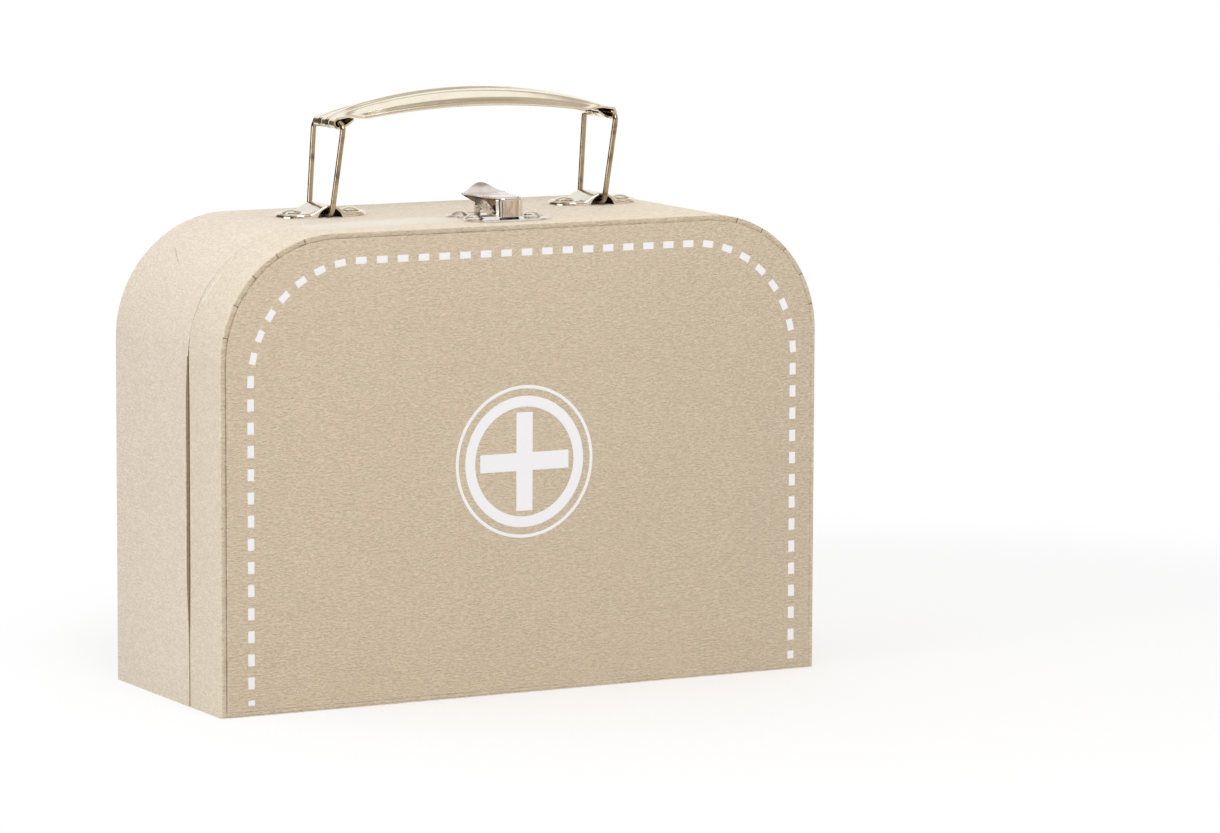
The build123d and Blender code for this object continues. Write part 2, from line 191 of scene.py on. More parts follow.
def painted(sheet, colour, roughness, normal, shine=0.5, metallic=0.0):
    """End a finish in one surface."""
    sockets = {"Base Color": colour, "Roughness": roughness, "Normal": normal}
    sockets.update({"Specular IOR Level": shine, "Metallic": metallic})
    surface = sheet.node("ShaderNodeBsdfPrincipled", sockets)
    sheet.send(surface, "ShaderNodeOutputMaterial", "Surface")


# ---- finishes ----
def outline_inset(sheet, place):
    """Distance in metres from a place on a face to the outline of the case, as a value."""
    across = sheet.math("ABSOLUTE", sheet.part(place, 0))
    beyond_x = sheet.math("MAXIMUM", across - shoulder_x * MM, 0.0)
    beyond_z = sheet.math("MAXIMUM", sheet.part(place, 2) - shoulder_z * MM, 0.0)
    reach = beyond_x * beyond_x + beyond_z * beyond_z
    root = sheet.math("SQRT", reach)
    return sheet.math("MINIMUM", corner_radius * MM - root, sheet.part(place, 2))


def line_distance(sheet, place, start, end):
    """Distance in metres from a place to the straight line between two points in millimetres."""
    start = Vector(start) * MM
    reach = Vector(end) * MM - start
    length = reach.length
    direction = tuple(reach / length)
    offset = sheet.vector("SUBTRACT", {0: place, 1: tuple(start)})
    run = sheet.math("MAXIMUM", sheet.along(offset, direction), 0.0)
    run = sheet.math("MINIMUM", run, length)
    foot = sheet.vector("SCALE", {0: direction, "Scale": run})
    apart = sheet.vector("SUBTRACT", {0: offset, 1: foot})
    return sheet.vector("LENGTH", {0: apart}, "Value")


# Brown of a real scratch and of the glue line, which also carries painted shade.
mark_and_shade_brown = tint(112, 92, 72)
# Line of a painted sheen across the top near the seam, in millimetres.
painted_sheen_line = ((-72, -24, 177), (-26, -17, 177))
# Line of a painted highlight on the corner's arc beside the seam, in millimetres.
painted_highlight_line = ((-120.6, -22.0, 151.4), (-114.6, -23.5, 160.6))
dark_scratch = ((-109.0, 28.2, 166.1), (-114.0, 13.8, 161.3))


def grained_paper(name, pale, deep, worn_and_sheen, ripple_depth, edge_y=None):
    """Beige paper with short level ripples, rubbed along its edge at edge_y.

    Without an edge it is a face sheet: it is rubbed along the outline of the case and shows a
    line of glue there with painted shade of its groove, darker on the left side.
    """
    material, sheet, place = finish(name)
    # The worn tint serves real rubbing and scuffs, and the painted sheen and highlight.
    worn_and_sheen = tint(*worn_and_sheen)
    ripples = sheet.grain(place, (540, 540, 1500), 2.0, 0.5, 0.5)
    pits = sheet.grain(place, (1000, 1000, 2900))
    blotches = sheet.cloud(place, 22.0, 3.0, 0.6)
    fibres = sheet.grain(place, (90, 90, 260))
    tone = blotches * 0.06 + fibres * 0.02 + ripples * 0.52 + pits * 0.4
    colour = sheet.blend(sheet.step(tone, 0.39, 0.61), tint(*deep), tint(*pale))
    if edge_y is None:
        inset = outline_inset(sheet, place)
        edge = sheet.step(inset, 0.0032, 0.0021)
        # Line of glue with painted shade of the groove beside the face sheet, stronger on the left.
        glue_and_shade = sheet.step(inset, 0.0022, 0.00204) * sheet.step(inset, 0.00182, 0.00192)
        glue_and_shade = glue_and_shade * (0.2 + 0.25 * sheet.step(sheet.part(place, 0), 0.06, -0.05))
        colour = sheet.blend(glue_and_shade, colour, mark_and_shade_brown)
    else:
        from_edge = sheet.math("ABSOLUTE", sheet.part(place, 1) - edge_y * MM)
        edge = sheet.step(from_edge, 0.0013, 0.0003)
        # Painted sheen: a whitish streak across the top where light glances off it.
        sheen_distance = line_distance(sheet, place, *painted_sheen_line) + blotches * 0.008
        colour = sheet.blend(sheet.step(sheen_distance, 0.019, 0.009) * 0.55, colour, worn_and_sheen)
        # Painted highlight: a thin pale streak on the arc beside the seam.
        highlight_distance = line_distance(sheet, place, *painted_highlight_line)
        colour = sheet.blend(sheet.step(highlight_distance, 0.0011, 0.0001) * 0.8, colour, worn_and_sheen)
        scratch = line_distance(sheet, place, *dark_scratch)
        colour = sheet.blend(sheet.step(scratch, 0.0005, 0.0001) * 0.3, colour, mark_and_shade_brown)
    rubbed = edge * sheet.step(sheet.cloud(place, 260.0, 3.0), 0.42, 0.68)
    colour = sheet.blend(rubbed * 0.22, colour, worn_and_sheen)
    scuffs = sheet.step(sheet.grain(place, (30, 30, 420), 4.0, 0.7), 0.66, 0.78)
    colour = sheet.blend(scuffs * 0.2, colour, worn_and_sheen)
    relief = sheet.raised(ripples * 0.6 + pits * 0.4, ripple_depth, 0.85)
    painted(sheet, colour, 0.52 + ripples * 0.16, relief, 0.34)
    return material


def ink_finish():
    """Matt white print that follows the grain of the paper under it."""
    material, sheet, place = finish("white_ink")
    grain = sheet.grain(place, (1100, 1100, 2600))
    thin = sheet.step(sheet.cloud(place, 900.0, 3.0, 0.7), 0.68, 0.8)
    colour = sheet.blend(thin * 0.5, tint(255, 253, 255), tint(243, 237, 230))
    relief = sheet.raised(grain, 0.00006, 0.6)
    painted(sheet, colour, 0.55 + grain * 0.15, relief, 0.3)
    return material


def lining_finish():
    """Smooth off-white lining paper with a faint fibre."""
    material, sheet, place = finish("lining_paper")
    fibre = sheet.grain(place, (140, 140, 900), 4.0, 0.65)
    blotches = sheet.cloud(place, 18.0, 2.0)
    tone = fibre * 0.6 + blotches * 0.4
    colour = sheet.blend(sheet.step(tone, 0.3, 0.7), tint(234, 228, 216), tint(245, 241, 232))
    relief = sheet.raised(fibre, 0.00004, 0.5)
    painted(sheet, colour, 0.62 + fibre * 0.15, relief, 0.3)
    return material


def board_finish():
    """Raw grey-brown board with specks of old fibre."""
    material, sheet, place = finish("raw_board")
    layers = sheet.grain(place, (200, 900, 900), 4.0, 0.7)
    specks = sheet.step(sheet.cloud(place, 1400.0, 2.0), 0.62, 0.7)
    colour = sheet.blend(sheet.step(layers, 0.3, 0.7), tint(148, 126, 101), tint(178, 156, 128))
    colour = sheet.blend(specks * 0.5, colour, tint(96, 80, 64))
    relief = sheet.raised(layers, 0.0001, 0.6)
    painted(sheet, colour, 0.8 + layers * 0.15, relief, 0.2)
    return material


def plated_metal(name, bright, dull, gloss, rubs, dents, grain=(300, 2600, 2600)):
    """Plated sheet or wire with shallow dents, rub marks along its grain and a little tarnish.

    Gloss is its roughness where it is clean and what tarnish adds; rubs and dents are in metres.
    """
    material, sheet, place = finish(name)
    tarnish = sheet.cloud(place, 160.0, 4.0, 0.6)
    rubbing = sheet.grain(place, grain, 3.0, 0.6)
    spots = sheet.step(sheet.cloud(place, 1300.0, 2.0), 0.7, 0.76)
    colour = sheet.blend(sheet.step(tarnish, 0.45, 0.8), tint(*bright), tint(*dull))
    colour = sheet.blend(spots * 0.35, colour, tint(120, 104, 84))
    roughness = gloss[0] + tarnish * gloss[1] + spots * 0.15
    relief = rubbing * rubs + sheet.cloud(place, 120.0, 1.0) * dents
    painted(sheet, colour, roughness, sheet.raised(relief, 1.0), metallic=1.0)
    return material


# Papers: pale, deep and worn tint (the worn tint also paints sheen and a highlight), depth of the
# ripples in metres, and the rubbed edge.
covering_paper = grained_paper(
    "covering_paper", (253, 240, 219), (237, 223, 199), (255, 252, 246), 0.0011, front_y
)
back_paper = grained_paper(
    "back_paper", (253, 239, 221), (237, 222, 202), (255, 252, 246), 0.0011, back_y
)
# Front paper: its tints are darker than the covering's partly for its own paper and partly as
# painted shade of the front face.
front_paper_and_shade = grained_paper(
    "front_paper_and_shade", (233, 215, 188), (214, 195, 168), (245, 235, 217), 0.0012
)
# Grey-brown of the small cuts round the corners: painted shade in the cuts.
nick_shade_paper = grained_paper(
    "nick_shade_paper", (168, 148, 122), (150, 130, 104), (190, 172, 146), 0.0006, front_y
)
# Brown for the faces in the seam: painted shade of the gap between lid and base.
seam_shade_paper = grained_paper(
    "seam_shade_paper", (178, 148, 114), (146, 118, 90), (190, 166, 136), 0.0005, lid_edge_y
)
white_ink = ink_finish()
lining_paper = lining_finish()
raw_board = board_finish()
# Metals: bright and dull tint, gloss, rub marks, dents, and the grain where it isn't along X.
polished_nickel = plated_metal(
    "polished_nickel", (230, 223, 209), (214, 204, 186), (0.1, 0.08), 4e-6, 1e-4
)
satin_nickel = plated_metal(
    "satin_nickel", (224, 218, 212), (206, 196, 186), (0.1, 0.1), 6e-6, 3e-4
)
pressed_nickel = plated_metal(
    "pressed_nickel", (226, 219, 214), (206, 196, 188), (0.11, 0.08), 5e-6, 7e-4
)
grip_plating = plated_metal(
    "grip_plating", (248, 240, 224), (236, 225, 204), (0.1, 0.08), 4e-6, 1e-4
)
# Brown metal for the hasp's pressed recess: painted shade and reflection.
recess_shade_metal = plated_metal(
    "recess_shade_metal", (172, 142, 114), (112, 86, 66), (0.2, 0.2), 1e-5, 6e-4
)
bright_wire = plated_metal(
    "bright_wire", (194, 177, 150), (70, 54, 38), (0.1, 0.06), 2e-6, 0.0, (2600, 2600, 120)
)
# Dark bare steel, darker still as painted shade, for the plate channels, the grip's curls and the
# hasp's window.
bare_steel_and_shade = plated_metal("bare_steel_and_shade", (74, 64, 54), (48, 41, 34), (0.5, 0.2), 2e-5, 0.0)
plain_steel = plated_metal(
    "plain_steel", (196, 194, 190), (168, 164, 156), (0.3, 0.2), 3e-5, 1e-4
)


# ---- meshes ----
def set_out(name, points, edges, faces):
    """An object in the scene from points in millimetres."""
    mesh = bpy.data.meshes.new(name)
    mesh.from_pydata([Vector(point) * MM for point in points], edges, faces)
    return shown(name, mesh)


def shown(name, data):
    """An object in the scene, at the origin, from its mesh, lamp or camera."""
    made = bpy.data.objects.new(name, data)
    bpy.context.scene.collection.objects.link(made)
    return made


def closed(made, smooth_below):
    """Merge doubles, point the faces outwards and smooth them where they meet at a low angle."""
    body = bmesh.new()
    body.from_mesh(made.data)
    bmesh.ops.remove_doubles(body, verts=body.verts, dist=2e-6)
    bmesh.ops.dissolve_degenerate(body, edges=body.edges, dist=1e-6)
    bmesh.ops.recalc_face_normals(body, faces=body.faces)
    limit = radians(smooth_below)
    for face in body.faces:
        face.smooth = True
    for edge in body.edges:
        edge.smooth = len(edge.link_faces) == 2 and edge.calc_face_angle(0.0) < limit
    body.to_mesh(made.data)
    body.free()
    return made


def meshed(name, points, faces, smooth_below=38.0):
    """A closed piece from points in millimetres."""
    return closed(set_out(name, points, [], faces), smooth_below)


def fitted(piece, body, slot, material, *replaced):
    """Give a piece its finish, tie it to its body and hide the nodes it stands for; the slot is not
    used.
    """
    piece.data.materials.clear()
    piece.data.materials.append(material)
    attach(piece, body)
    if replaced:
        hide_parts(*replaced)


def lined(piece, material, inside):
    """Give a further finish to the faces that are inside, by their middle in millimetres."""
    piece.data.materials.append(material)
    for face in piece.data.polygons:
        if inside(face.center / MM, face.normal):
            face.material_index = len(piece.data.materials) - 1


def joined(name, parts):
    """One object of several lists of points and faces."""
    points = []
    faces = []
    for part_points, part_faces in parts:
        first = len(points)
        points += part_points
        faces += [[first + index for index in face] for face in part_faces]
    return meshed(name, points, faces)


def band_faces(rings, size, last):
    """Faces between rings of points that follow each other, from the first place to the last."""
    faces = []
    for near in range(0, (rings - 1) * size, size):
        for i in range(last):
            following = (i + 1) % size
            faces.append([near + i, near + following, near + size + following, near + size + i])
    return faces


def tube_faces(rings, size):
    """Faces between closed rings that follow each other, with both ends capped."""
    ends = [[first + i for i in range(size)] for first in (0, (rings - 1) * size)]
    return band_faces(rings, size, size) + ends


def circles(pairs, sides):
    """Points of circles round Z from pairs of radius and z."""
    angles = [2 * pi * i / sides for i in range(sides)]
    return [(r * cos(angle), r * sin(angle), z) for r, z in pairs for angle in angles]


def sheet_body(rows):
    """Points and faces of a bent sheet from its outer and inner row of points at every station."""
    points = [point for outer, inner in rows for point in outer + inner[::-1]]
    return points, tube_faces(len(rows), 2 * len(rows[0][0]))


def quarter(steps):
    """Sines and cosines from 0 to 90 degrees."""
    angles = [radians(90 * i / steps) for i in range(steps + 1)]
    return [(sin(angle), cos(angle)) for angle in angles]


def half_disc(centre, radius, start, turn, steps=12):
    """Points of half a circle in Y and Z, from the start angle and turning by 1 or -1."""
    angles = [radians(start + turn * 180 * i / steps) for i in range(steps + 1)]
    y, z = centre
    return [(y + radius * cos(a), z + radius * sin(a)) for a in angles]


def smooth_step(value, low, high):
    """0 below low, 1 above high, smooth between."""
    share = min(max((value - low) / (high - low), 0.0), 1.0)
    return share * share * (3 - 2 * share)


def rounded_path(corners, radii, steps, loop=False):
    """Points of a path whose corners are rounded; a radius of 0 keeps the corner."""
    points = []
    count = len(corners)
    for i, (corner, radius) in enumerate(zip(corners, radii)):
        if radius == 0 or (not loop and i in (0, count - 1)):
            points.append(Vector(corner))
            continue
        corner = Vector(corner)
        back = (Vector(corners[i - 1]) - corner).normalized()
        ahead = (Vector(corners[(i + 1) % count]) - corner).normalized()
        half_angle = back.angle(ahead) / 2
        reach = radius / tan(half_angle)
        centre = corner + (back + ahead).normalized() * radius / sin(half_angle)
        sweep = pi - 2 * half_angle
        first = corner + back * reach - centre
        last = corner + ahead * reach - centre
        for k in range(steps + 1):
            share = k / steps
            weight = sin((1 - share) * sweep), sin(share * sweep)
            turned_by = (first * weight[0] + last * weight[1]) / sin(sweep)
            points.append(centre + turned_by)
    return points


# ---- rules made with geometry nodes ----
def rule(name, sizes):
    """A geometry tree with its path, named sizes and finish; its sheet and inputs as values."""
    sizes = {"Path": "Geometry", **sizes, "Finish": "Material"}
    tree = bpy.data.node_groups.new(name, "GeometryNodeTree")
    for size, kind in sizes.items():
        tree.interface.new_socket(size, in_out="INPUT", socket_type="NodeSocket" + kind)
    tree.interface.new_socket("Result", in_out="OUTPUT", socket_type="NodeSocketGeometry")
    entry = tree.nodes.new("NodeGroupInput")
    sheet = Sheet(tree)
    return sheet, {size: Value(sheet, entry.outputs[size]) for size in sizes}


def set_at(sheet, points, piece, turn):
    """A piece at every point, turned."""
    sockets = {"Points": points, "Instance": piece, "Rotation": turn}
    return sheet.node("GeometryNodeInstanceOnPoints", sockets)


def close_rule(sheet, geometry, material):
    """Every rule ends in real geometry with its finish."""
    real = sheet.node("GeometryNodeRealizeInstances", {0: geometry})
    sockets = {"Geometry": real, "Material": material}
    finished = sheet.node("GeometryNodeSetMaterial", sockets)
    sheet.send(finished, "NodeGroupOutput", "Result")


def ruled(name, points, edges, sheet, sizes, smooth_below=38.0):
    """Run a rule on points in millimetres and keep what it makes as a plain mesh."""
    carrier = set_out(name + "_path", points, edges, [])
    modifier = carrier.modifiers.new("rule", "NODES")
    modifier.node_group = sheet.tree
    for item in sheet.tree.interface.items_tree:
        if item.in_out == "INPUT" and item.name in sizes:
            modifier[item.identifier] = sizes[item.name]
    graph = bpy.context.evaluated_depsgraph_get()
    mesh = bpy.data.meshes.new_from_object(carrier.evaluated_get(graph), depsgraph=graph)
    bpy.data.objects.remove(carrier)
    return closed(shown(name, mesh), smooth_below)


def dash_rule():
    """Flat dashes set at one pitch along a path and turned with it."""
    sizes = {"First": "Float", "Pitch": "Float", "Count": "Int", "Dash": "Vector"}
    sheet, given = rule("dashes_along_a_path", sizes)
    path = sheet.node("GeometryNodeMeshToCurve", {0: given["Path"]})
    last = given["First"] + given["Pitch"] * (given["Count"] - 1)
    ends = {0: path, 4: given["First"], 5: last}
    run = sheet.node("GeometryNodeTrimCurve", ends, mode="LENGTH")
    stops = sheet.node("GeometryNodeCurveToPoints", {0: run, 1: given["Count"]}, mode="COUNT")
    heading = Value(sheet, stops.socket.node.outputs["Tangent"])
    ahead = {"Vector": heading}
    turn = sheet.node("FunctionNodeAlignRotationToVector", ahead, axis="X", pivot_axis="Y")
    dash = sheet.node("GeometryNodeMeshCube", {"Size": given["Dash"]})
    close_rule(sheet, set_at(sheet, stops, dash, turn), given["Finish"])
    return sheet


def fastener_rule():
    """One fastener at every point, each turned a little differently."""
    sheet, given = rule("fasteners_at_points", {"Fastener": "Object", "Seed": "Int"})
    fastener = sheet.node("GeometryNodeObjectInfo", {"Object": given["Fastener"]}, "Geometry")
    spread = {2: 0.0, 3: 2 * pi, "Seed": given["Seed"]}
    spin = sheet.node("FunctionNodeRandomValue", spread, 1)
    turn = sheet.node("ShaderNodeCombineXYZ", {"Z": spin})
    turn = sheet.node("FunctionNodeEulerToRotation", {0: turn})
    close_rule(sheet, set_at(sheet, given["Path"], fastener, turn), given["Finish"])
    return sheet


def wire_rule():
    """Round wire along a path."""
    sheet, given = rule("wire_along_a_path", {"Radius": "Float", "Sides": "Int"})
    path = sheet.node("GeometryNodeMeshToCurve", {0: given["Path"]})
    sockets = {"Resolution": given["Sides"], "Radius": given["Radius"]}
    section = sheet.node("GeometryNodeCurvePrimitiveCircle", sockets, mode="RADIUS")
    wire = sheet.node("GeometryNodeCurveToMesh", {"Curve": path, "Profile Curve": section})
    close_rule(sheet, wire, given["Finish"])
    return sheet


# ---- outline of the case ----
def arch_stations(foot_z, side_step, left_angles, right_angles):
    """Places along the outline as x, z and the outward direction, from left foot to right foot."""
    count = max(1, round((shoulder_z - foot_z) / side_step))
    heights = [foot_z + (shoulder_z - foot_z) * i / count for i in range(count)]
    stations = [(-case_width / 2, z, -1.0, 0.0) for z in heights]
    for side, angles in ((-1, left_angles), (1, right_angles)):
        for angle in angles:
            out_x = cos(radians(angle))
            out_z = sin(radians(angle))
            x = side * shoulder_x + corner_radius * out_x
            stations.append((x, shoulder_z + corner_radius * out_z, out_x, out_z))
        if side == -1:
            steps = max(1, round(2 * shoulder_x / side_step))
            for i in range(1, steps):
                x = -shoulder_x + 2 * shoulder_x * i / steps
                stations.append((x, case_height, 0.0, 1.0))
    return stations + [(case_width / 2, z, 1.0, 0.0) for z in reversed(heights)]


# Small cuts in the strip round the corners, in degrees, and the heights where the seam opens.
left_nicks = [168.0, 152.2, 136.1, 120.9, 105.5]
right_nicks = [75.5, 60.5, 44.4, 29.0, 13.0]
nick_half_deg = 0.45
nick_depth = 0.26
shut_above_foot = (22.0, 50.0)
shut_at_shoulder = (114.0, 141.0)
seam_slack = 1.2


def corner_angles(start, end, nicks, step):
    """Angles of a round corner from start down to end, with three at every nick."""
    angles = [start - step * i for i in range(int((start - end) / step) + 1)]
    angles = [a for a in angles if all(abs(a - nick) > nick_half_deg * 1.5 for nick in nicks)]
    for nick in nicks:
        angles += [nick + nick_half_deg, nick, nick - nick_half_deg]
    return sorted(angles, reverse=True)


def seam_shift(station, run, slack):
    """How far the seam edge strays from its line: nearly shut at the feet and above the sides.

    Between them it stops short by the slack, and the board's edge is bare.
    """
    foot = 1 - smooth_step(station[1], *shut_above_foot)
    upper = smooth_step(station[1], *shut_at_shoulder)
    stray = 0.04 * sin(run / 9.0) + 0.03 * sin(run / 3.7 + 1.3)
    shut = max(foot, upper)
    return 0.56 * shut - 0.28 - slack * (1 - shut) + stray


def covering(half, fold_y, edge_y, slack, finish_used, strip_finish):
    """Paper round the outline of one half, turned over the face edge and round the seam edge."""
    inward = 1 if fold_y < edge_y else -1
    fold_round = 0.38
    edge_round = 0.5
    tuck = wall_in + 0.3
    groove = 0.14
    groove_in = 1.93
    strip_end = 1.74
    # The section's points, by their inset and their depth from the fold or from the seam.
    face = [(tuck, groove), (groove_in, groove), (strip_end, 0), (fold_round + 0.12, 0)]
    face.append((fold_round, 0))
    turn = [(fold_round * (1 - sine), fold_round * (1 - cosine)) for sine, cosine in quarter(5)]
    seam = [(edge_round * (1 - cosine), -edge_round * (1 - sine)) for sine, cosine in quarter(4)]
    seam += [(wall_in, 0), (wall_in, -paper), (paper, -paper)]
    inside = [(paper, paper), (tuck, paper)]
    left = corner_angles(180.0, 90.0, left_nicks, 3.0)
    right = corner_angles(90.0, 0.0, right_nicks, 3.0)
    stations = arch_stations(paper, 7.0, left, right)
    points = []
    run = 0.0
    for i, station in enumerate(stations):
        x, z, out_x, out_z = station
        if i:
            run += hypot(x - stations[i - 1][0], z - stations[i - 1][1])
        angle = degrees(atan2(out_z, out_x))
        on_nick = any(abs(angle - nick) < 0.01 for nick in left_nicks + right_nicks)
        face_y = fold_y + inward * (nick_depth if on_nick else 0.0)
        seam_y = edge_y + inward * seam_shift(station, run, slack)
        zones = ((face, face_y), (turn[1:], fold_y), (seam, seam_y), (inside, fold_y))
        for pairs, y in zones:
            for inset, depth in pairs:
                points.append((x - out_x * inset, y + inward * depth, z - out_z * inset))
    faces = tube_faces(len(stations), len(points) // len(stations))
    piece = meshed(half + "_covering", points, faces, 50.0)
    fitted(piece, half, "covering", finish_used, half + "_covering_paper")

    def in_strip(place, facing):
        return abs(place.y - fold_y) < 0.5 and abs(facing.y) > 0.6

    # Faces that look into the seam take the painted shade of the gap.
    def in_seam(place, facing):
        steepest = 0.45 if place.z < shoulder_z else 0.9
        return abs(place.y - edge_y) < 2.0 and inward * facing.y > steepest

    def in_nick(place, facing):
        if abs(place.y - fold_y) > 0.5 or place.z < shoulder_z or abs(place.x) < shoulder_x:
            return False
        beside = place.x - copysign(shoulder_x, place.x)
        angle = degrees(atan2(place.z - shoulder_z, beside))
        return any(0 < nick - angle < nick_half_deg for nick in left_nicks + right_nicks)

    lined(piece, strip_finish, in_strip)
    lined(piece, seam_shade_paper, in_seam)
    # The small cuts in the strip take painted shade.
    lined(piece, nick_shade_paper, in_nick)


def face_sheet(name, outer_y, inner_y, finish_used, body, slot, node):
    """Sheet on the front or back, proud of the paper's fold, cut in chords round the corners."""
    inward = 1 if outer_y < inner_y else -1
    left = [180.0, *left_nicks, 90.0]
    right = [90.0, *right_nicks, 0.0]
    inset_depth_foot = [
        (2.14, 0.0, 1.15),
        (2.03, 0.05, 0.85),
        (2.0, 0.14, 0.62),
        (2.0, 0.34, 0.42),
        (2.0, abs(inner_y - outer_y), 0.4),
    ]
    points = []
    for inset, depth, foot_z in inset_depth_foot:
        for x, z, out_x, out_z in arch_stations(foot_z, 60.0, left, right):
            points.append((x - out_x * inset, outer_y + inward * depth, z - out_z * inset))
    rings = len(inset_depth_foot)
    piece = meshed(name, points, tube_faces(rings, len(points) // rings), 30.0)
    fitted(piece, body, slot, finish_used, node)


def build_case():
    """Coverings and face sheets, and finishes for the boards, linings, hinge leaves and washers."""
    # The lid's strip, covering paper turned onto the front, takes the front paper with its painted
    # shade.
    covering("lid", front_y + fold_depth, lid_edge_y, 0.0, covering_paper, front_paper_and_shade)
    covering("base", back_y - fold_depth, base_edge_y, seam_slack, back_paper, back_paper)
    front = ("front_face", front_y, front_y + 0.8, front_paper_and_shade)
    face_sheet(*front, "lid", "front_print_paper", "lid_front_sheet")
    back = ("back_face", back_y, back_y - 0.8, back_paper)
    face_sheet(*back, "base", "covering", "base_back_sheet")
    boards = ["base_wall_board", "base_back_board", "lid_wall_board", "lid_front_board"]
    rims = ["base_rim_left", "base_rim_right", "base_rim_top"]
    linings = ["base_back_lining", "base_wall_liner", "lid_front_lining", "lid_wall_lining"]
    washers = ["handle_washers", "latch_anchor_washers", "latch_keeper_washers"]
    for material, names in (
        (raw_board, boards + rims),
        (lining_paper, linings),
        (covering_paper, ["base_hinge_leaf", "lid_hinge_leaf"]),
        (plain_steel, washers),
    ):
        for name in names:
            nodes[name].data.materials.clear()
            nodes[name].data.materials.append(material)


# ---- print on the front ----
ink_top_y = front_y - 0.05
ink_root_y = front_y + 0.04
emblem_x = -0.5
emblem_z = 87.8


def flat_ring(outer, inner, sides):
    """Points and faces of a flat ring of ink round the middle of the emblem."""
    section = [(outer, ink_root_y), (outer, ink_top_y), (inner, ink_top_y), (inner, ink_root_y)]
    points = circles([*section, section[0]], sides)
    points = [(emblem_x + x, y, emblem_z + z) for x, z, y in points]
    return points, band_faces(5, sides, sides)


def flat_cross(half, arm):
    """Points and faces of an upright cross of ink with four equal arms."""
    a = arm / 2
    quarter_outline = [(a, half), (a, a), (half, a)]
    outline = []
    for _ in range(4):
        outline += quarter_outline
        quarter_outline = [(z, -x) for x, z in quarter_outline]
    points = []
    for y in (ink_root_y, ink_top_y):
        points += [(emblem_x + x, y, emblem_z + z) for x, z in outline]
    return points, tube_faces(2, len(outline))


def build_print():
    """Dashed border and the cross in its rings."""
    left = -case_width / 2 + 11.8
    right = case_width / 2 - 10.0
    top = case_height - 10.4
    border_radius = 44.0
    low_edge = 4.1
    dash = (4.4, ink_root_y - ink_top_y, 2.6)
    first = 3.9
    pitch = 8.58
    middle_y = (ink_root_y + ink_top_y) / 2
    corners = [(left, 0, 0), (left, 0, top), (right, 0, top), (right, 0, 0)]
    path = rounded_path(corners, [0, border_radius, border_radius, 0], 90)
    path = [(point.x, middle_y, point.z) for point in path]
    length = sum((Vector(a) - Vector(b)).length for a, b in zip(path, path[1:]))
    count = 1 + int((length - 2 * first) / pitch)
    sizes = {"First": first * MM, "Pitch": pitch * MM, "Count": count, "Finish": white_ink}
    sizes["Dash"] = [value * MM for value in dash]
    edges = [(i, i + 1) for i in range(len(path) - 1)]
    border = ruled("dashed_border", path, edges, dash_rule(), sizes, 10.0)
    for vertex in border.data.vertices:
        vertex.co.z = max(vertex.co.z, low_edge * MM)
    fitted(border, "lid", "ink", white_ink, "lid_print")
    parts = [flat_ring(28.8, 27.6, 160), flat_ring(24.8, 20.7, 160), flat_cross(18.6, 6.8)]
    fitted(joined("cross_in_rings", parts), "lid", "ink", white_ink, "lid_print")


# ---- rivets ----
def turned(profile, sides):
    """Points and faces of a body turned round Z from pairs of radius and z, with shut ends."""
    return circles(profile, sides), tube_faces(len(profile), sides)


def dome_profile(radius, height, steps):
    """Radius and height above the rim of a low dome, from the rim to just beside the pole."""
    ball = (radius**2 + height**2) / (2 * height)
    pairs = []
    for i in range(steps):
        r = radius * cos(radians(90 * i / steps))
        pairs.append((r, height - ball + sqrt(ball**2 - r**2)))
    return pairs + [(radius * 0.02, height)]


def rivet_profile(head_z, under_z, radius, height):
    """Head with a small upright rim, shank, and a tail spread under the wall."""
    rim = 0.22
    shank = 1.3
    tail = [(r, under_z - z) for r, z in dome_profile(2.3, 1.0, 6)]
    head = [(r, head_z + rim + z) for r, z in dome_profile(radius, height - rim, 9)]
    profile = tail[::-1] + [(shank, under_z), (shank, head_z), (radius - 0.12, head_z)]
    return profile + [(radius, head_z + 0.1)] + head


def build_rivets():
    """The three groups of rivets, set out by one rule."""
    setting = fastener_rule()
    middles = list(bail_middles.values())
    handle = [(x + side * handle_rivet_x, handle_y, 0) for x in middles for side in (-1, 1)]
    anchor = [(latch_x + side * anchor_rivet_x, anchor_y, 0) for side in (-1, 1)]
    keeper_rivets_y = keeper_y + keeper_rivet_y
    keeper = [(latch_x + side * keeper_rivet_x, keeper_rivets_y, 0) for side in (-1, 1)]
    # Places, height under the head and over the tail, radius and height of the head, body, node.
    groups = {
        "handle_rivet_heads": (handle, 178.7, 173.3, 3.7, 1.35, "base", "handle_rivets"),
        "anchor_rivet_heads": (anchor, 178.3, 172.1, 2.9, 1.1, "base", "latch_anchor_rivets"),
        "keeper_rivet_heads": (keeper, 178.3, 173.9, 2.9, 1.1, "lid", "latch_keeper_rivets"),
    }
    for seed, name in enumerate(groups):
        places, head_z, under_z, radius, height, body, node = groups[name]
        points, faces = turned(rivet_profile(head_z, under_z, radius, height), 40)
        pattern = meshed(name + "_pattern", points, faces)
        sizes = {"Fastener": pattern, "Seed": seed, "Finish": polished_nickel}
        heads = ruled(name, places, [], setting, sizes)
        bpy.data.objects.remove(pattern)
        fitted(heads, body, "nickel", polished_nickel, node)


